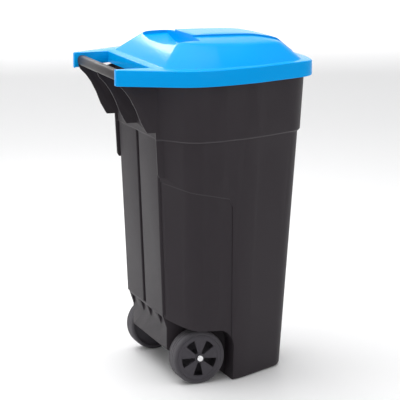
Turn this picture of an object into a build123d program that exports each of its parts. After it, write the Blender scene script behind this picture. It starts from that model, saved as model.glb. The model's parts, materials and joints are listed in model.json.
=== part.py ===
"""Two-wheeled household refuse bin of about 110 litres.

Millimetres, +Z up, X across the bin, +Y towards the handle and the wheels at its rear.
The origin is on the floor, under the middle of the closed bin. Left and right are those of a
person who stands behind the bin and pushes it, so the left wheel is on +X.
"""

import os
from math import cos, radians, sin, sqrt

from build123d import *

# ---- whole bin
HEIGHT = 885
LENGTH = 560
WIDTH = 524
HALF = WIDTH / 2
REAR = LENGTH / 2
FRONT = -LENGTH / 2
WALL = 3.5
GAP = 0.3  # between pieces that rest on each other and part again
SIDES = {"left": 1, "right": -1}

# ---- heights that the lid and the tub share
FLANGE_Z = HEIGHT - 65
COLLAR_Z = FLANGE_Z - 185

# ---- handle bar, which the lid turns on
BAR_Y = REAR - 20
BAR_Z = FLANGE_Z - 20
BAR_DEPTH = 24
BAR_HEIGHT = 26
BAR_CORNER = 10
BAR_WALL = 3
GUSSET = 5
GUSSET_HALF = 158
GUSSET_LOW_Z = COLLAR_Z + 21
TAIL_LOW_Z = COLLAR_Z - 95  # foot of the rib under each outer gusset
PLUG_FLANGE_R = 11
PLUG_FLANGE = 2
PLUG_INSIDE = 20
NECK_R = 7
NECK = 10
RUNNING = 0.08  # radial play of the hinge and of the wheels

# ---- lid
SKIRT_LOW_Z = FLANGE_Z - 40
LID_WALL = 3
ARM = 15  # width of an arm where it holds the hinge
ARM_PLAY = 0.5  # sideways, between an arm and the flange of a plug
NOTCH_Y = REAR - 92
NOTCH_LOW_Z = FLANGE_Z - 28
CHEEK = 38
DOME_EDGE_Z = FLANGE_Z + 46
PANEL = 5  # how far the panel stands up
CROWN_Z = HEIGHT - PANEL
CROWN_INSET = 35
PANEL_HALF = 70
PANEL_LENGTH = 170
PANEL_Y = -40

# ---- tub
COLLAR_STEP = 6
RIM_LIP = 6
RIM_LIP_THICK = 4
FOOT_ROUND = 10
RECESS = 2
COLUMN = 5
GROOVE_HALF = 8

# ---- wheels and axle
AXLE_R = 6
AXLE_Y = REAR - 217
TYRE_R = 70
TYRE_THICK = 11
TREAD = 46
TYRE_ROUND = 9
RIM_WALL = 11.5
WINDOW_IN_R = 13
WINDOW_HALF_ANGLE = 16
WINDOWS = 5
WINDOW_TURN = 202
WEB = 7
BACK = 3
HUB_WALL = 4
BUSH_WALL = 2.5
BUSH_FLANGE_R = AXLE_R + 5
BUSH_FLANGE = 1.5
WASHER_R = AXLE_R + 6
WASHER = 2
CAP_R = AXLE_R + 2.5
CAP_LENGTH = 8

# ---- box between the wheels, and the wheelhouses beside it
BOX_HALF = 131
BOX_REAR_Y = AXLE_Y + 68
HOUSE_FRONT_Y = AXLE_Y - TYRE_R - 22
HOUSE_TOP_Z = 2 * TYRE_R + 2
HOUSE_CORNER = 50
LEDGE_Z = HOUSE_TOP_Z + 36
LEDGE_DROP = 38
BOSS_R = AXLE_R + 7
WHEEL_GAP = 11  # from the box to the inner end of a hub
RIB = 3
RIB_X = 66
POCKET_X = (28, 105)
POCKET_WIDTH = 34

# ---- sizes that follow from those above
RIM_Z = FLANGE_Z - LID_WALL - GAP
BAR_HALF = GUSSET_HALF + GUSSET / 2
NOTCH_HALF = BAR_HALF + PLUG_FLANGE + ARM_PLAY
ARM_HALF = NOTCH_HALF + ARM
AXLE_Z = TYRE_R
BOX_LOW_Z = AXLE_Z + BOSS_R
RIM_R = TYRE_R - TYRE_THICK
WINDOW_OUT_R = RIM_R - RIM_WALL
BUSH_R = AXLE_R + BUSH_WALL
HUB_R = BUSH_R + HUB_WALL
WHEEL_IN = BOX_HALF + WHEEL_GAP
WHEEL_OUT = WHEEL_IN + TREAD
BOSS_END = WHEEL_IN - BUSH_FLANGE - WASHER - 2 * GAP
CAP_SEAT = WHEEL_OUT + GAP


def blend(low, high, share):
    """Value a share of the way from low to high."""
    return low + (high - low) * share


def outline(z, corners, radii, grow=0.0):
    """Level face at height z from the corners of its right half, rear to front, then moved outwards."""
    left = [(-x, y) for x, y in reversed(corners)]
    with BuildSketch(Plane.XY.offset(z)) as level:
        with BuildLine():
            FilletPolyline(*corners, *left, radius=[*radii, *reversed(radii)], close=True)
        make_face()
        if grow:
            offset(amount=grow)
    return level.sketch


def skin_y(z):
    """Rear face of the tub's skin at height z."""
    return blend(REAR - 148, REAR - 112, z / RIM_Z)


def wall_half(z):
    """Half width of the flat rear wall at height z."""
    return blend(GUSSET_HALF - 18, GUSSET_HALF - 3, z / RIM_Z)


def tub_section(z, grow=0.0):
    """Level cut through the tub's outer skin at height z, moved outwards by grow."""
    share = z / RIM_Z
    side = blend(HALF - 58, HALF - 25.5, share)
    corners = [
        (wall_half(z), skin_y(z)),
        (side, skin_y(z) - blend(43, 66, share)),
        (side, skin_y(z) - blend(97, 134, share)),
        (blend(HALF - 76, HALF - 48, share), blend(FRONT + 230, FRONT + 211, share)),
        (blend(HALF - 152, HALF - 110, share), blend(FRONT + 83, FRONT + 45, share)),
        (blend(50, 62, share), blend(FRONT + 70, FRONT + 20, share)),
    ]
    starts = (10, 45, 150, 250, 55, 200)
    ends = (12, 70, 250, 400, 70, 300)
    return outline(z, corners, [blend(a, b, share) for a, b in zip(starts, ends)], grow)


def tub_stretch(low_z, low_grow, high_z, high_grow):
    """Solid stretch of the tub's skin between two heights."""
    loft([tub_section(low_z, low_grow), tub_section(high_z, high_grow)], ruled=True)


def lid_section(z, inset=0.0):
    """Level cut through the lid's skirt, arms included, moved inwards by inset."""
    corners = [
        (ARM_HALF, REAR),
        (HALF, REAR - 166),
        (HALF, REAR - 244),
        (HALF - 24, FRONT + 207),
        (HALF - 92, FRONT + 26),
        (70, FRONT),
    ]
    return outline(z, corners, [7, 150, 350, 450, 80, 350], -inset)


def dome_section(z, share, inset=0.0):
    """Level cut through the dome: share 0 is its foot on the flange and share 1 the edge of its top."""
    low = [(HALF - 72, REAR - 118), (HALF - 31, REAR - 170), (HALF - 29, REAR - 250)]
    low += [(HALF - 48, FRONT + 200), (HALF - 114, FRONT + 48), (60, FRONT + 27)]
    high = [(HALF - 130, REAR - 180), (HALF - 112, REAR - 212), (HALF - 112, REAR - 270)]
    high += [(HALF - 118, FRONT + 190), (HALF - 142, FRONT + 92), (44, FRONT + 80)]
    corners = [(blend(a, c, share), blend(b, d, share)) for (a, b), (c, d) in zip(low, high)]
    radii = [blend(a, b, share) for a, b in zip((14, 90, 300, 400, 60, 250), (20, 50, 200, 250, 40, 200))]
    return outline(z, corners, radii, -inset)


def side_face(x, points):
    """Upright face square to X, from its corners as (y, z)."""
    with BuildSketch(Plane.YZ.offset(x)) as upright:
        with BuildLine():
            Polyline(*points, close=True)
        make_face()
    return upright.sketch


# wheelhouse roof, as (y, z): it rises in an arc to the rear
ROOF_START = (AXLE_Y - 20, HOUSE_TOP_Z + 2)
ROOF_MIDDLE = (BOX_REAR_Y - 23, HOUSE_TOP_Z + 13)
ROOF_TAIL = (BOX_REAR_Y + 40, HOUSE_TOP_Z + 48)
ROOF = ThreePointArc(ROOF_START, ROOF_MIDDLE, ROOF_TAIL)


def roof_z(y):
    """Height of the underside of the wheelhouse roof at y, behind its start."""
    return ROOF.arc_center.Y - sqrt(ROOF.radius**2 - (y - ROOF.arc_center.X) ** 2)


def house_profile(grow=0.0):
    """Side outline of the wheelhouses: front wall, rounded corner, and a roof that rises to the rear."""
    front = HOUSE_FRONT_Y - grow
    top = HOUSE_TOP_Z + grow
    corner = (front, top - HOUSE_CORNER)
    roof = (front + HOUSE_CORNER, top)
    start, middle, tail = [(y, z + grow) for y, z in (ROOF_START, ROOF_MIDDLE, ROOF_TAIL)]
    with BuildSketch(Plane.YZ) as upright:
        with BuildLine():
            Polyline(corner, (front, -20), (REAR, -20), (REAR, top + 75), tail)
            ThreePointArc(tail, middle, start)
            Line(start, roof)
            RadiusArc(corner, roof, HOUSE_CORNER)
        make_face()
    return upright.sketch


def across(x):
    """Upright plane square to X at x, with its origin on the bar's axis."""
    return Plane(origin=(x, BAR_Y, BAR_Z), x_dir=(0, 1, 0), z_dir=(1, 0, 0))


def axle_plane(x):
    """Upright plane square to X at x, with its origin on the axle."""
    return Plane(origin=(x, AXLE_Y, AXLE_Z), x_dir=(0, 1, 0), z_dir=(1, 0, 0))


def ring(start, end, outer, inner):
    """Ring or tube round the axle from x = start to x = end."""
    with BuildSketch(axle_plane(start)) as disc:
        Circle(outer)
        if inner:
            Circle(inner, mode=Mode.SUBTRACT)
    extrude(disc.sketch, amount=end - start)


# ---- space inside the tub: its floor steps up over the wheels
with BuildPart() as room:
    tub_stretch(WALL, -WALL, COLLAR_Z + WALL, -WALL)
    tub_stretch(COLLAR_Z + WALL, COLLAR_STEP - WALL, RIM_Z + 1, COLLAR_STEP - 1 - WALL)
    extrude(house_profile(WALL), amount=WIDTH, both=True, mode=Mode.SUBTRACT)

# ---- shallow step that sinks the lower rear of each side
with BuildPart() as inner_skin:
    tub_stretch(0, -RECESS, COLLAR_Z, -RECESS)

with BuildPart() as sunk:
    turn_y = HOUSE_FRONT_Y + 13
    climb = [(0, -172), (9, -150), (60, -137), (115, -126), (165, -110)]
    edge = [(turn_y + along, COLLAR_Z + down) for along, down in climb]
    step = [(turn_y - 9, -5), *edge, (REAR, COLLAR_Z - 58), (REAR, -5)]
    extrude(side_face(0, step), amount=WIDTH, both=True)
    for z in (-6, COLLAR_Z):
        with BuildSketch(Plane.XY.offset(z)):
            Rectangle(2 * (wall_half(z) - 5.5), 3 * LENGTH)
    loft(ruled=True, mode=Mode.SUBTRACT)
    add(inner_skin.part, mode=Mode.SUBTRACT)


def gusset_profile(x):
    """Upright outline of a gusset at x, cradling the bar from below."""
    wall = skin_y(GUSSET_LOW_Z) - BAR_Y
    foot = GUSSET_LOW_Z - BAR_Z
    edge = [(10, -13), (6, -22), (-9.5, -38), (-22.5, -56), (-36.5, -83), (-49.5, -116), (-62, -138), (-66, foot)]
    with BuildSketch(across(x)) as upright:
        with BuildLine():
            Polyline((10, 0), *edge, (wall, foot), (wall, -6), (-60, -18), (-18, -18), (-14, 0), close=True)
        make_face()
        RectangleRounded(BAR_DEPTH, BAR_HEIGHT, BAR_CORNER, mode=Mode.SUBTRACT)
    return upright.sketch


# side outline of the box between the wheels, up to just inside the wheelhouse roof
BOX_SIDE = [(HOUSE_FRONT_Y - WALL / 2, 2), (BOX_REAR_Y, BOX_LOW_Z)]
BOX_SIDE += [(y, roof_z(y) + WALL / 2) for y in (BOX_REAR_Y, BOX_REAR_Y - 15, BOX_REAR_Y - 35, BOX_REAR_Y - 60)]
BOX_SIDE += [
    (
        HOUSE_FRONT_Y + HOUSE_CORNER + (HOUSE_CORNER + WALL / 2) * cos(radians(turn)),
        HOUSE_TOP_Z - HOUSE_CORNER + (HOUSE_CORNER + WALL / 2) * sin(radians(turn)),
    )
    for turn in (90, 112.5, 135, 157.5, 180)
]


# ---- tub
with BuildPart() as tub:
    tub_stretch(0, 0, COLLAR_Z, 0)
    fillet(tub.edges().group_by(Axis.Z)[0], FOOT_ROUND)
    tub_stretch(COLLAR_Z, COLLAR_STEP - 3, COLLAR_Z + 4, COLLAR_STEP)
    tub_stretch(COLLAR_Z + 4, COLLAR_STEP, RIM_Z, COLLAR_STEP - 1)
    extrude(tub_section(RIM_Z - RIM_LIP_THICK, COLLAR_STEP - 1 + RIM_LIP), amount=RIM_LIP_THICK)
    # flat columns of the rear wall, with upright grooves between and beside them
    for side in SIDES.values():
        for z in (LEDGE_Z, COLLAR_Z + COLLAR_STEP):
            outer = wall_half(z) - 5
            with BuildSketch(Plane.XY.offset(z)):
                with Locations((side * (outer + GROOVE_HALF) / 2, skin_y(z) + COLUMN)):
                    RectangleRounded(outer - GROOVE_HALF, 30, 4, align=(Align.CENTER, Align.MAX))
        loft(ruled=True)
    add(sunk.part, mode=Mode.SUBTRACT)
    # gussets that carry the handle bar, and the ribs under the outer two
    for x in (-GUSSET_HALF, 0, GUSSET_HALF):
        extrude(gusset_profile(x - GUSSET / 2), amount=GUSSET)
    tail_foot = skin_y(TAIL_LOW_Z) + COLUMN
    tail_top = skin_y(GUSSET_LOW_Z) + COLUMN + 6
    tail = [(tail_foot - 20, TAIL_LOW_Z), (tail_foot, TAIL_LOW_Z), (tail_foot + 5, TAIL_LOW_Z + 9)]
    tail += [(tail_top, GUSSET_LOW_Z + 3), (tail_foot - 20, GUSSET_LOW_Z + 3)]
    for x in (-GUSSET_HALF, GUSSET_HALF):
        extrude(side_face(x - GUSSET / 2, tail), amount=GUSSET)
    # wheelhouses, then the inside
    extrude(house_profile(), amount=WIDTH, both=True, mode=Mode.SUBTRACT)
    add(room.part, mode=Mode.SUBTRACT)
    # box between the wheels: sides, ribs, rear panel and the web under the ledge
    plates = [(-BOX_HALF, WALL), (BOX_HALF - WALL, WALL), (-RIB_X - RIB / 2, RIB), (RIB_X - RIB / 2, RIB)]
    for x, thick in plates:
        extrude(side_face(x, BOX_SIDE), amount=thick)
    with BuildSketch(Plane.XY.offset(BOX_LOW_Z)):
        with Locations((0, BOX_REAR_Y)):
            Rectangle(2 * BOX_HALF, WALL, align=(Align.CENTER, Align.MAX))
    extrude(amount=roof_z(BOX_REAR_Y - WALL) + 3 - BOX_LOW_Z)
    ledge_y = skin_y(LEDGE_Z) + COLUMN
    web = [(BOX_REAR_Y - 2, LEDGE_Z - LEDGE_DROP), (BOX_REAR_Y, LEDGE_Z - LEDGE_DROP)]
    web += [(ledge_y - 1, LEDGE_Z + 1), (BOX_REAR_Y - 2, roof_z(BOX_REAR_Y - 2) + 2)]
    extrude(side_face(-BOX_HALF, web), amount=2 * BOX_HALF)
    pocket = [(BOX_REAR_Y, LEDGE_Z - LEDGE_DROP - 1), (BOX_REAR_Y + 30, LEDGE_Z - LEDGE_DROP - 1)]
    pocket += [(y, roof_z(y)) for y in (BOX_REAR_Y + 30, BOX_REAR_Y + 15, BOX_REAR_Y)]
    for x in (-POCKET_X[1], -POCKET_X[0], *POCKET_X):
        extrude(side_face(x - POCKET_WIDTH / 2, pocket), amount=POCKET_WIDTH, mode=Mode.SUBTRACT)
    # bosses for the axle
    for side in SIDES.values():
        ring(side * (BOX_HALF - 12), side * BOSS_END, BOSS_R, 0)
        ring(side * (RIB_X - 8), side * (RIB_X + 8), BOSS_R, 0)
    with BuildSketch(axle_plane(0)):
        Circle(AXLE_R + RUNNING / 2)
    extrude(amount=BOX_HALF + 30, both=True, mode=Mode.SUBTRACT)

# ---- handle bar: rounded tube
with BuildPart() as handle_bar:
    with BuildSketch(across(-BAR_HALF)):
        RectangleRounded(BAR_DEPTH, BAR_HEIGHT, BAR_CORNER)
        RectangleRounded(
            BAR_DEPTH - 2 * BAR_WALL, BAR_HEIGHT - 2 * BAR_WALL, BAR_CORNER - BAR_WALL, mode=Mode.SUBTRACT
        )
    extrude(amount=2 * BAR_HALF)


def hinge_plug(side):
    """Plug in one end of the handle bar, with the round neck that the lid turns on."""
    with BuildPart() as plug:
        with BuildSketch(across(side * (BAR_HALF - PLUG_INSIDE))):
            RectangleRounded(
                BAR_DEPTH - 2 * BAR_WALL, BAR_HEIGHT - 2 * BAR_WALL, BAR_CORNER - BAR_WALL
            )
        extrude(amount=side * PLUG_INSIDE)
        with BuildSketch(across(side * BAR_HALF)):
            Circle(PLUG_FLANGE_R)
        extrude(amount=side * PLUG_FLANGE)
        with BuildSketch(across(side * BAR_HALF)):
            Circle(NECK_R)
        extrude(amount=side * (NOTCH_HALF + NECK - BAR_HALF))
        fillet(plug.faces().sort_by(Axis.X)[-1 if side > 0 else 0].edges(), 1)
    return plug.part


# ---- space under the lid's dome
with BuildPart() as dome_room:
    low = dome_section(FLANGE_Z - LID_WALL, 0, LID_WALL)
    loft([low, dome_section(DOME_EDGE_Z - LID_WALL, 1, LID_WALL / 2)], ruled=True)
    top = dome_section(CROWN_Z - LID_WALL, 1, CROWN_INSET + 2 * LID_WALL)
    loft([dome_section(DOME_EDGE_Z - LID_WALL, 1, LID_WALL), top], ruled=True)

# ---- lid
with BuildPart() as lid:
    extrude(lid_section(SKIRT_LOW_Z), amount=FLANGE_Z - SKIRT_LOW_Z)
    fillet(lid.edges().group_by(Axis.Z)[-1], 2)
    inside = lid_section(SKIRT_LOW_Z, LID_WALL)
    extrude(inside, amount=FLANGE_Z - LID_WALL - SKIRT_LOW_Z, mode=Mode.SUBTRACT)
    # upright wall round the hand opening, and solid cheeks that hold the hinge
    with BuildSketch(Plane.XY.offset(NOTCH_LOW_Z)):
        with Locations((0, NOTCH_Y - LID_WALL)):
            Rectangle(2 * (NOTCH_HALF + LID_WALL), REAR - NOTCH_Y + LID_WALL, align=(Align.CENTER, Align.MIN))
    extrude(amount=FLANGE_Z - 2 - NOTCH_LOW_Z)
    with BuildSketch(Plane.XY.offset(SKIRT_LOW_Z + 2)):
        for side in SIDES.values():
            with Locations((side * NOTCH_HALF, REAR - 1)):
                corner = Align.MIN if side > 0 else Align.MAX
                Rectangle(ARM_HALF - NOTCH_HALF - 1, CHEEK, align=(corner, Align.MAX))
    extrude(amount=FLANGE_Z - 4 - SKIRT_LOW_Z)
    with BuildSketch(Plane.XY.offset(SKIRT_LOW_Z - 1)):
        with Locations((0, NOTCH_Y)):
            Rectangle(2 * NOTCH_HALF, REAR, align=(Align.CENTER, Align.MIN))
    extrude(amount=FLANGE_Z, mode=Mode.SUBTRACT)
    loft([dome_section(FLANGE_Z - 1, 0), dome_section(DOME_EDGE_Z, 1)], ruled=True)
    loft([dome_section(DOME_EDGE_Z, 1), dome_section(CROWN_Z, 1, CROWN_INSET)], ruled=True)
    with BuildSketch(Plane.XY.offset(CROWN_Z - 2)):
        with Locations((0, PANEL_Y)):
            RectangleRounded(2 * PANEL_HALF, PANEL_LENGTH, 6)
    extrude(amount=PANEL + 2)
    add(dome_room.part, mode=Mode.SUBTRACT)
    for side in SIDES.values():
        with BuildSketch(across(side * NOTCH_HALF)):
            Circle(NECK_R + RUNNING)
        extrude(amount=side * (NECK + GAP), mode=Mode.SUBTRACT)

# ---- axle
with BuildPart() as axle:
    with BuildSketch(axle_plane(0)):
        Circle(AXLE_R)
    extrude(amount=CAP_SEAT + CAP_LENGTH - 3, both=True)
    chamfer(axle.edges(), 1)


def washer(side):
    """Steel washer between the box's boss and the bush of a wheel."""
    with BuildPart() as disc:
        ring(side * (BOSS_END + GAP), side * (BOSS_END + GAP + WASHER), WASHER_R, AXLE_R + RUNNING)
    return disc.part


def bush(side):
    """Flanged sleeve pressed into a wheel's hub from the inner side."""
    with BuildPart() as sleeve:
        ring(side * (WHEEL_IN - BUSH_FLANGE), side * WHEEL_IN, BUSH_FLANGE_R, AXLE_R + RUNNING)
        ring(side * WHEEL_IN, side * WHEEL_OUT, BUSH_R, AXLE_R + RUNNING)
    return sleeve.part


def wheel_rim(side):
    """Moulded wheel: hub, closed back, web with tapered windows at the outer face, and a rim."""
    with BuildPart() as rim:
        ring(side * WHEEL_IN, side * WHEEL_OUT, HUB_R, BUSH_R)
        ring(side * (WHEEL_IN + 4), side * WHEEL_OUT, RIM_R, WINDOW_OUT_R + 3)
        ring(side * (WHEEL_IN + 4), side * (WHEEL_IN + 4 + BACK), WINDOW_OUT_R + 4, BUSH_R)
        ring(side * (WHEEL_OUT - WEB), side * (WHEEL_OUT - 1), WINDOW_OUT_R + 4, BUSH_R)
        with BuildSketch(axle_plane(side * (WHEEL_OUT - WEB - 1))):
            for step in range(WINDOWS):
                middle = WINDOW_TURN + step * 360 / WINDOWS
                wedge = [
                    (r * cos(radians(middle + turn)), r * sin(radians(middle + turn)))
                    for r, turn in (
                        (WINDOW_IN_R, -WINDOW_HALF_ANGLE),
                        (WINDOW_OUT_R, -WINDOW_HALF_ANGLE),
                        (WINDOW_OUT_R, 0),
                        (WINDOW_OUT_R, WINDOW_HALF_ANGLE),
                        (WINDOW_IN_R, WINDOW_HALF_ANGLE),
                    )
                ]
                with BuildLine():
                    Line(wedge[0], wedge[1])
                    ThreePointArc(wedge[1], wedge[2], wedge[3])
                    Line(wedge[3], wedge[4])
                    Line(wedge[4], wedge[0])
                make_face()
        extrude(amount=side * (WEB + 2), mode=Mode.SUBTRACT)
    return rim.part


def tyre(side):
    """Tread ring with rounded shoulders round a wheel's rim."""
    with BuildPart() as tread:
        ring(side * WHEEL_IN, side * WHEEL_OUT, TYRE_R, RIM_R)
        shoulders = tread.edges().filter_by(GeomType.CIRCLE).group_by(SortBy.RADIUS)[-1]
        fillet(shoulders, TYRE_ROUND)
    return tread.part


def axle_cap(side):
    """Domed cap pushed on the axle's end, which keeps the wheel on."""
    with BuildPart() as cap:
        with BuildSketch(axle_plane(side * CAP_SEAT)):
            Circle(CAP_R)
        extrude(amount=side * CAP_LENGTH)
        fillet(cap.faces().sort_by(Axis.X)[-1 if side > 0 else 0].edges(), 3.5)
        with BuildSketch(axle_plane(side * CAP_SEAT)):
            Circle(AXLE_R + 0.01)
        extrude(amount=side * (CAP_LENGTH - 2.9), mode=Mode.SUBTRACT)
    return cap.part


pieces = {"tub": tub.part, "handle_bar": handle_bar.part, "lid": lid.part, "axle": axle.part}
makers = {
    "hinge_plug": hinge_plug,
    "axle_washer": washer,
    "wheel_bush": bush,
    "wheel_rim": wheel_rim,
    "tyre": tyre,
    "axle_cap": axle_cap,
}
for kind, make in makers.items():
    for name, side in SIDES.items():
        pieces[f"{kind}_{name}"] = make(side)

os.makedirs("parts", exist_ok=True)
for name, piece in pieces.items():
    piece.label = name
    export_step(piece, f"parts/{name}.step")
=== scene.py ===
"""Visual model of a two-wheeled household refuse bin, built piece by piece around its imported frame.

Metres, +Z up. The handle and the wheels are at +Y and the bin is the same on both sides of X = 0.
"""

import json
from math import cos, pi, radians, sin, tan

import bmesh
import bpy
from mathutils import Matrix, Vector

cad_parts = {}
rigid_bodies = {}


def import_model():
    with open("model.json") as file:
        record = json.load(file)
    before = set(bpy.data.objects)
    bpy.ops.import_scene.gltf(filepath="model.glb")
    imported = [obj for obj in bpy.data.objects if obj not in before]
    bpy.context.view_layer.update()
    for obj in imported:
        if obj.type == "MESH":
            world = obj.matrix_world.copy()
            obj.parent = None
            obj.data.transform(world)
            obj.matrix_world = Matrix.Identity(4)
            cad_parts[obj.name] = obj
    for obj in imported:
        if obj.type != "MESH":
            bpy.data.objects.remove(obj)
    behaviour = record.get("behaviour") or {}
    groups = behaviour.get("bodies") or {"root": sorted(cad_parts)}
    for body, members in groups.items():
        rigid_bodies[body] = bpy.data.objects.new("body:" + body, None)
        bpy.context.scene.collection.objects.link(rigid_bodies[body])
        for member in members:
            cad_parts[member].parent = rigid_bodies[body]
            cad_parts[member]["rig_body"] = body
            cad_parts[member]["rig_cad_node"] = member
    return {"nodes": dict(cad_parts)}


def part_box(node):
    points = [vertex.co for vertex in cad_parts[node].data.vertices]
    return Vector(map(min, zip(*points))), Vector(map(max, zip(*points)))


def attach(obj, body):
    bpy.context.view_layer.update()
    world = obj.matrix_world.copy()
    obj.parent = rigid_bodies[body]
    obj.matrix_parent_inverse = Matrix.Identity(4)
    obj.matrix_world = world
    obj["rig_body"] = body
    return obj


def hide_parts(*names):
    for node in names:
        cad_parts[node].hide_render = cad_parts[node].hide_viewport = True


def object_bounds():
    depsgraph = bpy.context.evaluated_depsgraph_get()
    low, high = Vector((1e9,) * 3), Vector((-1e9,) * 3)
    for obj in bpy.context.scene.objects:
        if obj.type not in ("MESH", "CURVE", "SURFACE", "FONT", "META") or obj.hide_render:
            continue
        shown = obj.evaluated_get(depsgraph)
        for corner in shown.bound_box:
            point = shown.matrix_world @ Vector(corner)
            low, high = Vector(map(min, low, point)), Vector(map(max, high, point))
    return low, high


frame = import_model()
cad_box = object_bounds()

# ---- Studio
# A seamless pale floor that curves up behind the bin, lit by large soft panels from above and
# from the handle side, with one long lens at the height of a standing person.
view_azimuth = radians(248.775)
view_elevation = radians(12.269)
view_roll = radians(0.257)
view_place = Vector((-4.306, 1.663, 1.444))
lens = 162.19

back = Vector((
    sin(view_azimuth) * cos(view_elevation),
    -cos(view_azimuth) * cos(view_elevation),
    sin(view_elevation),
))
level = (-back).cross(Vector((0, 0, 1))).normalized()
upright = level.cross(-back)
camera_right = level * cos(view_roll) + upright * sin(view_roll)
camera_up = upright * cos(view_roll) - level * sin(view_roll)
bpy.ops.object.camera_add()
camera = bpy.context.object
camera.data.lens = lens
camera.matrix_world = (
    Matrix.Translation(view_place) @ Matrix((camera_right, camera_up, back)).transposed().to_4x4()
)
bpy.context.scene.camera = camera
bpy.context.scene.view_settings.view_transform = "Standard"


class Shade:
    """A socket of a material's nodes, so that what varies over a surface is written as plain sums."""

    def __init__(self, tree, socket=None):
        self.tree = tree
        self.socket = socket

    def node(self, kind, settings=None, sockets=None, out=0):
        """New node of a kind: its settings are set first, then its sockets' values or links."""
        made = self.tree.nodes.new(kind)
        for name, value in (settings or {}).items():
            setattr(made, name, value)
        for name, value in (sockets or {}).items():
            if isinstance(value, Shade):
                self.tree.links.new(value.socket, made.inputs[name])
            else:
                made.inputs[name].default_value = value
        return Shade(self.tree, made.outputs[out])

    def maths(self, operation, first, second=0.0):
        """Result of a sum, or of another operation, on sockets and plain numbers."""
        return self.node("ShaderNodeMath", {"operation": operation}, {0: first, 1: second})

    def __add__(self, other):
        return self.maths("ADD", self, other)

    __radd__ = __add__

    def __sub__(self, other):
        return self.maths("SUBTRACT", self, other)

    def __rsub__(self, other):
        return self.maths("SUBTRACT", other, self)

    def __mul__(self, other):
        return self.maths("MULTIPLY", self, other)

    __rmul__ = __mul__

    def noise(self, place, scale, detail, roughness):
        """Fractal noise over a place, of a scale in cells to the metre."""
        settings = {"Vector": place, "Scale": scale, "Detail": detail, "Roughness": roughness}
        return self.node("ShaderNodeTexNoise", sockets=settings)

    def mix(self, share, tone, other_tone):
        """Colour a share of the way from one tone to another."""
        return self.node("ShaderNodeMix", {"data_type": "RGBA"}, {0: share, 6: tone, 7: other_tone}, out=2)


def new_finish(name):
    """Empty material: its nodes, and the shader that the finish feeds."""
    material = bpy.data.materials.new(name)
    material.use_nodes = True
    tree = material.node_tree
    return material, Shade(tree), tree.nodes["Principled BSDF"]


def feed(shade, shader, **signals):
    """Link what varies over the surface to the shader's sockets."""
    for name, signal in signals.items():
        shade.tree.links.new(signal.socket, shader.inputs[name.replace("_", " ")])


def select_only(piece):
    """Make one object the selected and active one."""
    bpy.ops.object.select_all(action="DESELECT")
    piece.select_set(True)
    bpy.context.view_layer.objects.active = piece


def put_finish(piece, material):
    """The piece's only material."""
    piece.data.materials.clear()
    piece.data.materials.append(material)


floor_half = 14
floor_bend = 5
bpy.ops.object.select_all(action="DESELECT")
bpy.ops.mesh.primitive_plane_add(size=2 * floor_half)
floor = bpy.context.object
floor.name = "studio_floor"
bpy.ops.object.mode_set(mode="EDIT")
bpy.ops.mesh.select_mode(type="EDGE")
bpy.ops.mesh.select_all(action="DESELECT")
sheet = bmesh.from_edit_mesh(floor.data)
for edge in sheet.edges:
    edge.select = all(v.co.x > 0 for v in edge.verts)
bpy.ops.mesh.extrude_region_move(TRANSFORM_OT_translate={"value": (0, 0, 2 * floor_bend)})
bpy.ops.object.mode_set(mode="OBJECT")
sweep = floor.modifiers.new("sweep", "BEVEL")
sweep.width = floor_bend
sweep.segments = 24
bpy.ops.object.modifier_apply(modifier="sweep")
bpy.ops.object.shade_smooth()
paper, _, paper_shader = new_finish("studio_paper")
paper_shader.inputs["Roughness"].default_value = 0.55
paper_shader.inputs["Base Color"].default_value = (0.93, 0.93, 0.935, 1)
put_finish(floor, paper)

world = bpy.data.worlds.new("studio_air")
world.use_nodes = True
air = world.node_tree.nodes["Background"]
air.inputs["Color"].default_value = (1, 1, 1, 1)
air.inputs["Strength"].default_value = 0.70
bpy.context.scene.world = world


def soft_panel(name, place, aim, width, height, watts):
    """Large soft light at a place, turned to a point of the bin."""
    bpy.ops.object.light_add(type="AREA", location=place)
    panel = bpy.context.object
    panel.name = name
    panel.data.shape = "RECTANGLE"
    panel.data.size = width
    panel.data.size_y = height
    panel.data.energy = watts
    panel.rotation_euler = (Vector(aim) - Vector(place)).to_track_quat("-Z", "Y").to_euler()


middle = Vector((0, 0, cad_box[1].z / 2))
soft_panel("top_panel", (0.4, 0.6, 3.2), middle, 3, 3, 84)
soft_panel("handle_side_panel", (0.6, 3.4, 1.4), middle, 2.2, 2.2, 2)
soft_panel("front_panel", (-3.2, -1.2, 1.6), middle, 1.6, 2.0, 5)
soft_panel("lid_panel", (2.4, 0.15, 1.95), (0, 0.13, 0.85), 0.42, 0.26, 6)
soft_panel("backdrop_panel", (7, -2, 5), (14, -4, 2), 8, 4, 500)

# ---- Tub
# One moulding of dark grey polyethylene, from a tool with a fine spark-eroded grain. Its rear wall
# carries two flat columns and the gussets of the bar. A pale line is painted along the foot of its
# collar and along the top of the recess in each side: a painted highlight where those edges catch light.
tub_tone = (0.0275, 0.0228, 0.0270, 1)
tub_light_tone = (0.0355, 0.0300, 0.0348, 1)
# pale tone of the painted highlight lines along the tub's edges, standing in for light those edges catch
painted_highlight_tone = (0.095, 0.088, 0.095, 1)
collar_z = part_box("tub")[1].z - 0.1817
collar_foot = 0.0018
recess_y = -0.016
recess_climb = [(0, -0.172), (0.009, -0.150), (0.060, -0.137), (0.115, -0.126), (0.165, -0.110)]
recess_inner_x = 0.150


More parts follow.
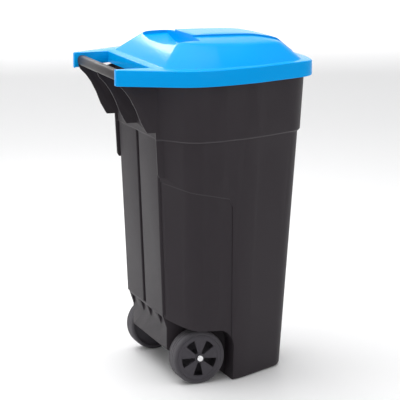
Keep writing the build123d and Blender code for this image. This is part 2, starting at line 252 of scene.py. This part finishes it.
def moulded_plastic(name, tone, light_tone, roughness, grain, depth, shine=0.2, painted_highlights=None):
    """Moulded plastic: faint cloudy tone, uneven gloss, fine grain, and perhaps a painted highlight along
    some edges.
    """
    material, shade, shader = new_finish(name)
    place = shade.node("ShaderNodeTexCoord", out="Object")
    cloud = shade.noise(place, 9.0, 5.0, 0.6)
    speck = shade.noise(place, grain, 3.0, 0.7)
    pores = shade.node("ShaderNodeTexVoronoi", sockets={"Vector": place, "Scale": grain * 0.9})
    colour = shade.mix(cloud * 0.7 + speck * 0.45 - 0.1, tone, light_tone)
    # painted highlight: some edges are mixed towards a pale tone that stands in for the light they catch
    if painted_highlights:
        colour = shade.mix(painted_highlights(shade, place, speck), colour, painted_highlight_tone)
    gloss = cloud * 0.10 + speck * 0.08 + (roughness - 0.09)
    relief = shade.node(
        "ShaderNodeBump",
        sockets={"Strength": 0.35, "Distance": depth, "Height": speck * 0.7 + pores * 0.5},
    )
    shader.inputs["Specular IOR Level"].default_value = shine
    feed(shade, shader, Base_Color=colour, Roughness=gloss, Normal=relief)
    return material


def tub_painted_highlights(shade, place, speck):
    """Painted highlight on the tub: pale lines along the foot of its collar and along the top of each
    side's recess.
    """

    def ramp(signal, low, high, start, end, smooth=False):
        kind = {"interpolation_type": "SMOOTHSTEP"} if smooth else {}
        return shade.node("ShaderNodeMapRange", kind, {0: signal, 1: low, 2: high, 3: start, 4: end})

    def near(distance, reach, strength):
        off = shade.maths("ABSOLUTE", distance)
        return ramp(off + speck * 0.0006, 0.0008, reach, strength, 0.0, smooth=True)

    across, along, height = [
        shade.node("ShaderNodeSeparateXYZ", sockets={0: place}, out=axis) for axis in range(3)
    ]
    recess_top = ramp(along, recess_y, recess_y + 0.001, 0.0, recess_climb[0][1] + collar_z)
    for (low_y, low_z), (high_y, high_z) in zip(recess_climb, recess_climb[1:]):
        recess_top = recess_top + ramp(along, recess_y + low_y, recess_y + high_y, 0.0, high_z - low_z)
    at_side = ramp(shade.maths("ABSOLUTE", across), recess_inner_x, recess_inner_x + 0.006, 0.0, 1.0)
    # painted highlight lines along the collar's foot and the top of each recess
    collar_highlight = near(height - (collar_z + collar_foot), 0.0034, 0.5)
    return collar_highlight + near(height - recess_top, 0.0026, 0.3) * at_side


tub_plastic = moulded_plastic(
    "grained_charcoal_plastic", tub_tone, tub_light_tone, 0.46, 900.0, 0.0006, 0.13, tub_painted_highlights
)


def merged(piece, gap, flat_degrees):
    """Weld the piece's near points and merge its triangles into flat faces."""
    select_only(piece)
    bpy.ops.object.mode_set(mode="EDIT")
    bpy.ops.mesh.select_all(action="SELECT")
    bpy.ops.mesh.remove_doubles(threshold=gap)
    bpy.ops.mesh.customdata_custom_splitnormals_clear()
    bpy.ops.mesh.dissolve_limited(angle_limit=radians(flat_degrees))
    bpy.ops.object.mode_set(mode="OBJECT")


def rounded(piece, width, segments, edge_degrees, smooth_degrees, miter="MITER_SHARP"):
    """Round the piece's hard edges, and shade it smooth but for them."""
    rounding = piece.modifiers.new("rounding", "BEVEL")
    rounding.width = width
    rounding.segments = segments
    rounding.limit_method = "ANGLE"
    rounding.angle_limit = radians(edge_degrees)
    rounding.miter_outer = miter
    bpy.ops.object.modifier_apply(modifier="rounding")
    bpy.ops.object.shade_smooth_by_angle(angle=radians(smooth_degrees))


def softened_copy(node, name, width, limit_degrees):
    """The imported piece's own shape with its triangles merged and its hard edges rounded."""
    piece = frame["nodes"][node].copy()
    piece.data = piece.data.copy()
    piece.name = name
    piece.parent = None
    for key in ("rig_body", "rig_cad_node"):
        del piece[key]
    bpy.context.scene.collection.objects.link(piece)
    merged(piece, 0.00002, 0.6)
    rounded(piece, width, 2, limit_degrees, 35, "MITER_ARC")
    return piece


def settle(piece, material, body, node):
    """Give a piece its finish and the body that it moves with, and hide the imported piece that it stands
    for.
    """
    put_finish(piece, material)
    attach(piece, body)
    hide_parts(node)


tub = softened_copy("tub", "moulded_tub", 0.0012, 35)
settle(tub, tub_plastic, "bin", "tub")

# ---- Lid
# Injection-moulded sky blue polypropylene, about 3 mm thick: a flat flange with a deep skirt, a
# crowned dome with a raised middle panel and a finger grip behind it, and two arms at the rear
# whose cheeks turn on the ends of the handle bar.
lid_low, lid_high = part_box("lid")
lid_wall = 0.003
skirt_low = lid_low.z
flange_z = skirt_low + 0.040
rear = lid_high.y
front = lid_low.y
half = lid_high.x
arm_half = 0.178
notch_half = 0.163
notch_y = rear - 0.092
notch_depth = 0.028
cheek_reach = 0.039
panel_rise = 0.0048
panel_half = 0.068
panel_rear = 0.038
grip_half = 0.128
grip_floor_half = 0.055
grip_rear = 0.114
grip_floor_rise = 0.0270
grip_fall = 0.07
grip_ramp = 0.0165
clear_z = lid_high.z + 0.05
hair = 0.0002
lid_tone = (0.0, 0.325, 0.80, 1)
lid_light_tone = (0.0, 0.355, 0.85, 1)

skirt_corners = [
    (arm_half, rear),
    (half, rear - 0.166),
    (half, rear - 0.244),
    (half - 0.024, front + 0.207),
    (half - 0.092, front + 0.026),
    (0.070, front),
]
skirt_radii = [0.007, 0.150, 0.350, 0.450, 0.080, 0.350]
foot_corners = [
    (half - 0.072, rear - 0.118),
    (half - 0.031, rear - 0.170),
    (half - 0.029, rear - 0.250),
    (half - 0.048, front + 0.200),
    (half - 0.114, front + 0.048),
    (0.060, front + 0.027),
]
foot_radii = [0.014, 0.090, 0.300, 0.400, 0.060, 0.250]
edge_corners = [
    (half - 0.130, rear - 0.180),
    (half - 0.112, rear - 0.212),
    (half - 0.112, rear - 0.270),
    (half - 0.118, front + 0.190),
    (half - 0.142, front + 0.092),
    (0.044, front + 0.080),
]
edge_radii = [0.020, 0.050, 0.200, 0.250, 0.040, 0.200]


def rounded_outline(corners, radii, steps=7):
    """Closed level outline from the corners of its right half, each rounded, rear to front and back."""
    points = [Vector(corner) for corner in corners]
    points += [Vector((-x, y)) for x, y in reversed(corners)]
    sizes = radii + radii[::-1]
    outline = []
    for index, corner in enumerate(points):
        to_last = (points[index - 1] - corner).normalized()
        to_next = (points[(index + 1) % len(points)] - corner).normalized()
        opening = to_last.angle(to_next)
        centre = corner + (to_last + to_next).normalized() * sizes[index] / sin(opening / 2)
        arm = corner + to_last * sizes[index] / tan(opening / 2) - centre
        for step in range(steps + 1):
            turn = Matrix.Rotation(-(pi - opening) * step / steps, 2)
            outline.append(centre + turn @ arm)
    return outline


def between(first, second, share):
    """Outline a share of the way from one outline to another, or past it."""
    return [a.lerp(b, share) for a, b in zip(first, second)]


def drawn_in(outline, amount):
    """Outline moved inwards by an even amount."""
    moved = []
    for index, point in enumerate(outline):
        along = outline[(index + 1) % len(outline)] - outline[index - 1]
        moved.append(point + Vector((along.y, -along.x)).normalized() * amount)
    return moved


skirt_outline = rounded_outline(skirt_corners, skirt_radii)
foot_outline = rounded_outline(foot_corners, foot_radii)
edge_outline = rounded_outline(edge_corners, edge_radii)


def lay_loop(points):
    """Put the selected loop on a list of points, each by its place in the loop."""
    shell = bmesh.from_edit_mesh(bpy.context.edit_object.data)
    for vertex in [v for v in shell.verts if v.select]:
        vertex.co = points[vertex[shell.verts.layers.int["turn"]]]
    bmesh.update_edit_mesh(bpy.context.edit_object.data)


def drawn_shell(name, loops, ring=False):
    """Shell drawn from loop to loop out of a circle; the last loop is filled, or joined to the first."""
    bpy.ops.object.select_all(action="DESELECT")
    bpy.ops.mesh.primitive_circle_add(vertices=len(loops[0]))
    piece = bpy.context.object
    piece.name = name
    turn = piece.data.attributes.new("turn", "INT", "POINT")
    turn.data.foreach_set("value", list(range(len(piece.data.vertices))))
    bpy.ops.object.mode_set(mode="EDIT")
    bpy.ops.mesh.select_all(action="SELECT")
    lay_loop(loops[0])
    for points in loops[1:]:
        bpy.ops.mesh.extrude_region_move()
        lay_loop(points)
    if ring:
        bpy.ops.mesh.select_mode(type="EDGE")
        bpy.ops.mesh.select_all(action="DESELECT")
        bpy.ops.mesh.select_non_manifold()
        bpy.ops.mesh.bridge_edge_loops()
        bpy.ops.mesh.select_mode(type="VERT")
    else:
        bpy.ops.mesh.edge_face_add()
    bpy.ops.mesh.select_all(action="SELECT")
    bpy.ops.mesh.normals_make_consistent(inside=False)
    bpy.ops.object.mode_set(mode="OBJECT")
    return piece


def stacked_shell(name, rings):
    """Open shell from level outlines, from the bottom up, closed at its top."""
    return drawn_shell(name, [[(x, y, z_of(x, y)) for x, y in outline] for outline, z_of in rings])


def flat_at(z):
    """The same height everywhere."""
    return lambda x, y: z


def flange_at(drop):
    """Height a little under the flange, which droops at its front."""
    return lambda x, y: flange_z - drop - 0.6 * max(0, -0.2 - y) ** 2


def dome_at(rise, tilt):
    """Height on the dome: it falls a little towards the front."""
    return lambda x, y: flange_at(0)(x, y) + rise + tilt * (y + 0.05)


# each ring: how far it is from the dome's foot to its edge, or from there to the crown's centre,
# its rise over the flange, and its tilt
dome_rings = [
    (0.0, 0.0, 0.0),
    (0.02, 0.0006, 0.0),
    (0.05, 0.0024, 0.002),
    (0.5, 0.0235, 0.02),
    (0.9, 0.0425, 0.036),
    (0.97, 0.0455, 0.039),
    (1.04, 0.0475, 0.040),
    (1.12, 0.0489, 0.040),
]
crown_centre = Vector((0, -0.045))
crown_rings = [
    (0.10, 0.0518, 0.036),
    (0.30, 0.0555, 0.024),
    (0.50, 0.0580, 0.012),
    (0.72, 0.0591, 0.004),
]


def dome_stack(lift):
    """Rings of the dome from its foot up, lifted, and on over its crown."""
    stack = []
    for share, rise, tilt in dome_rings:
        stack.append((between(foot_outline, edge_outline, share), dome_at(rise + lift, tilt)))
    last = stack[-1][0]
    for share, rise, tilt in crown_rings:
        outline = [point.lerp(crown_centre, share) for point in last]
        stack.append((outline, dome_at(rise + lift, tilt)))
    return stack


skirt_stack = [
    (drawn_in(skirt_outline, 0.0008), flat_at(skirt_low)),
    (skirt_outline, flat_at(skirt_low + 0.001)),
    (skirt_outline, flange_at(0.0032)),
    (drawn_in(skirt_outline, 0.0008), flange_at(0.0012)),
    (drawn_in(skirt_outline, 0.0026), flange_at(0)),
]
lid = stacked_shell("lid_moulding", skirt_stack + dome_stack(0))


def walled(piece, thickness):
    """Give a shell its wall, inwards."""
    select_only(piece)
    wall = piece.modifiers.new("wall", "SOLIDIFY")
    wall.thickness = thickness
    wall.offset = -1
    wall.use_even_offset = True
    bpy.ops.object.modifier_apply(modifier="wall")


def combine(piece, tool, operation):
    """Join a solid to the piece, or cut it away, and drop the tool."""
    select_only(piece)
    cut = piece.modifiers.new("cut", "BOOLEAN")
    cut.operation = operation
    cut.solver = "EXACT"
    cut.object = tool
    bpy.ops.object.modifier_apply(modifier="cut")
    bpy.data.objects.remove(tool)


def block(low, high):
    """Rectangular solid between two corners."""
    bpy.ops.object.select_all(action="DESELECT")
    low, high = Vector(low), Vector(high)
    bpy.ops.mesh.primitive_cube_add(size=1, location=(low + high) / 2, scale=high - low)
    solid = bpy.context.object
    bpy.ops.object.transform_apply(location=True, rotation=True, scale=True)
    return solid


def closed_stack(name, rings):
    """Solid from level outlines, closed at its bottom too."""
    piece = stacked_shell(name, rings)
    select_only(piece)
    bpy.ops.object.mode_set(mode="EDIT")
    bpy.ops.mesh.select_mode(type="EDGE")
    bpy.ops.mesh.select_all(action="DESELECT")
    bpy.ops.mesh.select_non_manifold()
    bpy.ops.mesh.edge_face_add()
    bpy.ops.mesh.select_all(action="SELECT")
    bpy.ops.mesh.normals_make_consistent(inside=False)
    bpy.ops.mesh.select_mode(type="VERT")
    bpy.ops.object.mode_set(mode="OBJECT")
    return piece


def solid_dome(lift):
    """The dome's outer shape as a solid that reaches below the flange."""
    base = (foot_outline, flat_at(flange_z - 0.02))
    return closed_stack("dome_tool", [base] + dome_stack(lift))


def prism(outline, low_at):
    """Upright solid over an outline, from the heights of its bottom to clear above the lid."""
    return closed_stack("prism_tool", [(outline, low_at), (outline, flat_at(clear_z))])


walled(lid, lid_wall)

# hand opening between the arms, with a wall all round it, and the solid cheeks of the arms
notch_walls = block(
    (-notch_half - lid_wall, notch_y - lid_wall, flange_z - notch_depth),
    (notch_half + lid_wall, rear - 0.0005, flange_z - hair),
)
combine(lid, notch_walls, "UNION")
for side in (-1, 1):
    inner, outer = sorted((side * notch_half, side * (arm_half - 0.001)))
    cheek = block(
        (inner, rear - cheek_reach, skirt_low + 0.002), (outer, rear - 0.001, flange_z - lid_wall)
    )
    combine(lid, cheek, "UNION")
notch = block(
    (-notch_half, notch_y, skirt_low - 0.01), (notch_half, rear + 0.01, flange_z + 0.01)
)
combine(lid, notch, "DIFFERENCE")

# raised middle panel
panel_plan = rounded_outline(
    [(panel_half, panel_rear), (panel_half - 0.004, -0.150), (panel_half - 0.010, front + 0.034)],
    [0.006, 0.4, 0.010],
)
panel = solid_dome(panel_rise)
combine(panel, prism(panel_plan, flat_at(flange_z - 0.001)), "INTERSECT")
combine(panel, solid_dome(-0.0015), "DIFFERENCE")
combine(lid, panel, "UNION")


# finger grip behind the panel: a shallow bowl whose ends ramp up to the dome's corners
grip_inner = rounded_outline(
    [
        (0.030, grip_rear - 0.0040),
        (grip_floor_half, grip_rear - 0.0050),
        (grip_floor_half, panel_rear + 0.003),
    ],
    [0.180, 0.006, 0.006],
)
grip_outer = rounded_outline(
    [(0.050, grip_rear), (grip_half, grip_rear - 0.008), (grip_half - 0.006, panel_rear)],
    [0.180, 0.010, 0.008],
)


def grip_bowl(grow):
    """Solid that cuts the finger grip, or with grow the same solid a wall larger."""

    def floor_at(x, y):
        return flange_z + grip_floor_rise + grip_fall * (grip_rear - y) - grow

    def ramp_at(x, y):
        out = max(0, (abs(x) - grip_floor_half) / (grip_half - grip_floor_half))
        return floor_at(x, y) + 0.001 + grip_ramp * out

    rings = [(grip_inner, floor_at), (grip_outer, ramp_at), (grip_outer, flat_at(clear_z))]
    return closed_stack("grip_tool", [(drawn_in(outline, -grow), z_of) for outline, z_of in rings])


tray = solid_dome(-hair)
combine(tray, grip_bowl(lid_wall), "INTERSECT")
combine(lid, tray, "UNION")
combine(lid, grip_bowl(0), "DIFFERENCE")

merged(lid, 0.00015, 0.5)
rounded(lid, 0.0014, 3, 28, 30)
lid_plastic = moulded_plastic(
    "satin_sky_blue_plastic", lid_tone, lid_light_tone, 0.20, 1200.0, 0.0001, 0.07
)
settle(lid, lid_plastic, "lid", "lid")

# ---- Handle bar and hinge plugs
# A rounded tube of charcoal plastic in the cradles of the gussets, worn smoother by hands, with a
# moulded plug pushed into each end. The round necks of the plugs are the pins of the lid's hinge.
bar_tone = (0.038, 0.035, 0.037, 1)
bar_light_tone = (0.052, 0.048, 0.049, 1)
bar_plastic = moulded_plastic(
    "handled_charcoal_plastic", bar_tone, bar_light_tone, 0.40, 1500.0, 0.0002
)
bar = softened_copy("handle_bar", "rounded_handle_bar", 0.0006, 30)
settle(bar, bar_plastic, "bin", "handle_bar")
for side in ("left", "right"):
    plug = softened_copy(f"hinge_plug_{side}", f"hinge_plug_moulding_{side}", 0.0005, 30)
    settle(plug, bar_plastic, "bin", f"hinge_plug_{side}")

# ---- Wheel rims and bushes
# Each rim is moulded in dark grey plastic with five tapered windows, a closed back and a thick hub.
# A flanged nylon bush, pressed in from the inner side, runs on the axle.
rim_tone = (0.050, 0.046, 0.054, 1)
rim_light_tone = (0.066, 0.061, 0.071, 1)
nylon_tone = (0.09, 0.09, 0.09, 1)
nylon_light_tone = (0.13, 0.125, 0.115, 1)
rim_plastic = moulded_plastic(
    "grained_wheel_plastic", rim_tone, rim_light_tone, 0.50, 1100.0, 0.0004
)
nylon = moulded_plastic("oiled_grey_nylon", nylon_tone, nylon_light_tone, 0.35, 1800.0, 0.0001)
for side in ("left", "right"):
    rim = softened_copy(f"wheel_rim_{side}", f"moulded_wheel_rim_{side}", 0.0009, 35)
    settle(rim, rim_plastic, f"wheel_{side}", f"wheel_rim_{side}")
    bush = softened_copy(f"wheel_bush_{side}", f"flanged_wheel_bush_{side}", 0.0003, 35)
    settle(bush, nylon, f"wheel_{side}", f"wheel_bush_{side}")

# ---- Tyres
# Solid rings of dark grey rubber, moulded round the rims, with rounded shoulders and three
# shallow grooves round the tread. The running face is scuffed lighter and dusty.
rubber_tone = (0.048, 0.044, 0.052, 1)
dusty_tone = (0.120, 0.115, 0.124, 1)
groove_places = (-0.011, 0, 0.011)
groove_half = 0.0016
groove_floor_half = 0.0010
groove_depth = 0.0016
tyre_shoulder = 0.009
tyre_bore_gap = 0.0002
tyre_chamfer = 0.0008
shoulder_steps = 6
tread_points = 128


def scuffed_rubber(name, hub, tread_radius):
    """Dark grey rubber: matt with dust, lighter and rougher where it rolls on the ground."""
    material, shade, shader = new_finish(name)
    place = shade.node("ShaderNodeTexCoord", out="Object")
    from_hub = shade.node(
        "ShaderNodeVectorMath", {"operation": "SUBTRACT"}, {0: place, 1: (0, hub.y, hub.z)}
    )
    flat = shade.node("ShaderNodeVectorMath", {"operation": "MULTIPLY"}, {0: from_hub, 1: (0, 1, 1)})
    radius = shade.node("ShaderNodeVectorMath", {"operation": "LENGTH"}, {0: flat}, out=1)
    rolled = shade.node(
        "ShaderNodeMapRange",
        sockets={0: radius, 1: tread_radius - 0.006, 2: tread_radius, 3: 0.0, 4: 1.0},
    )
    dust = shade.noise(place, 45.0, 6.0, 0.7)
    speck = shade.noise(place, 700.0, 3.0, 0.7)
    colour = shade.mix(rolled * 0.6 + dust * 0.5 + speck * 0.3 - 0.25, rubber_tone, dusty_tone)
    relief = shade.node(
        "ShaderNodeBump",
        sockets={"Strength": 0.4, "Distance": 0.0005, "Height": speck * 0.8 + dust * 0.4},
    )
    shader.inputs["Specular IOR Level"].default_value = 0.3
    feed(shade, shader, Base_Color=colour, Roughness=dust * 0.12 + rolled * 0.08 + 0.6, Normal=relief)
    return material


for side in ("left", "right"):
    low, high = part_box(f"tyre_{side}")
    hub = (low + high) / 2
    tread_radius = (high.z - low.z) / 2
    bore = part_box(f"wheel_rim_{side}")[1].z - hub.z + tyre_bore_gap
    shoulder = []
    for step in range(1, shoulder_steps + 1):
        turn = radians(90 * step / shoulder_steps)
        shoulder.append((
            tyre_shoulder * (1 - cos(turn)),
            tread_radius - tyre_shoulder * (1 - sin(turn)),
        ))
    profile = [(low.x, bore + tyre_chamfer), (low.x, tread_radius - tyre_shoulder)]
    profile += [(low.x + inwards, radius) for inwards, radius in shoulder]
    for place in groove_places:
        profile += [
            (hub.x + place - groove_half, tread_radius),
            (hub.x + place - groove_floor_half, tread_radius - groove_depth),
            (hub.x + place + groove_floor_half, tread_radius - groove_depth),
            (hub.x + place + groove_half, tread_radius),
        ]
    profile += [(high.x - inwards, radius) for inwards, radius in reversed(shoulder)]
    profile += [(high.x, tread_radius - tyre_shoulder), (high.x, bore + tyre_chamfer)]
    profile += [(high.x - tyre_chamfer, bore), (low.x + tyre_chamfer, bore)]
    turns = [2 * pi * step / tread_points for step in range(tread_points)]
    loops = [
        [(x, hub.y + radius * cos(turn), hub.z + radius * sin(turn)) for turn in turns]
        for x, radius in profile
    ]
    tyre = drawn_shell(f"grooved_tyre_{side}", loops, ring=True)
    select_only(tyre)
    bpy.ops.object.shade_smooth_by_angle(angle=radians(30))
    rubber = scuffed_rubber(f"scuffed_grey_rubber_{side}", hub, tread_radius)
    settle(tyre, rubber, f"wheel_{side}", f"tyre_{side}")

# ---- Axle, washers and caps
# A drawn steel rod, zinc plated, right through the box. A steel washer keeps each wheel off the box
# and a bright plated domed cap, pushed on each end, keeps it on.
zinc_tone = (0.62, 0.62, 0.63, 1)
dull_zinc_tone = (0.42, 0.41, 0.40, 1)
chrome_tone = (0.90, 0.90, 0.91, 1)
dull_chrome_tone = (0.72, 0.72, 0.73, 1)


def plated_metal(name, tone, dull_tone, roughness, stretch):
    """Plated metal: fine lines from drawing or polishing, with duller spots."""
    material, shade, shader = new_finish(name)
    place = shade.node("ShaderNodeTexCoord", out="Object")
    along = shade.node("ShaderNodeVectorMath", {"operation": "MULTIPLY"}, {0: place, 1: stretch})
    lines = shade.noise(along, 1.0, 4.0, 0.6)
    spots = shade.noise(place, 160.0, 4.0, 0.6)
    colour = shade.mix(spots * 1.3 + lines * 0.4 - 0.55, tone, dull_tone)
    gloss = spots * 0.12 + lines * 0.08 + roughness
    relief = shade.node(
        "ShaderNodeBump", sockets={"Strength": 0.12, "Distance": 0.0001, "Height": lines}
    )
    shader.inputs["Metallic"].default_value = 1
    feed(shade, shader, Base_Color=colour, Roughness=gloss, Normal=relief)
    return material


zinc = plated_metal("drawn_zinc_plated_steel", zinc_tone, dull_zinc_tone, 0.22, (60, 2500, 2500))
chrome = plated_metal("bright_plated_cap", chrome_tone, dull_chrome_tone, 0.02, (900, 900, 900))
axle = softened_copy("axle", "drawn_axle", 0.0003, 30)
settle(axle, zinc, "bin", "axle")
for side in ("left", "right"):
    washer = softened_copy(f"axle_washer_{side}", f"stamped_axle_washer_{side}", 0.0003, 30)
    settle(washer, zinc, "bin", f"axle_washer_{side}")
    cap = softened_copy(f"axle_cap_{side}", f"domed_axle_cap_{side}", 0.0003, 30)
    settle(cap, chrome, "bin", f"axle_cap_{side}")
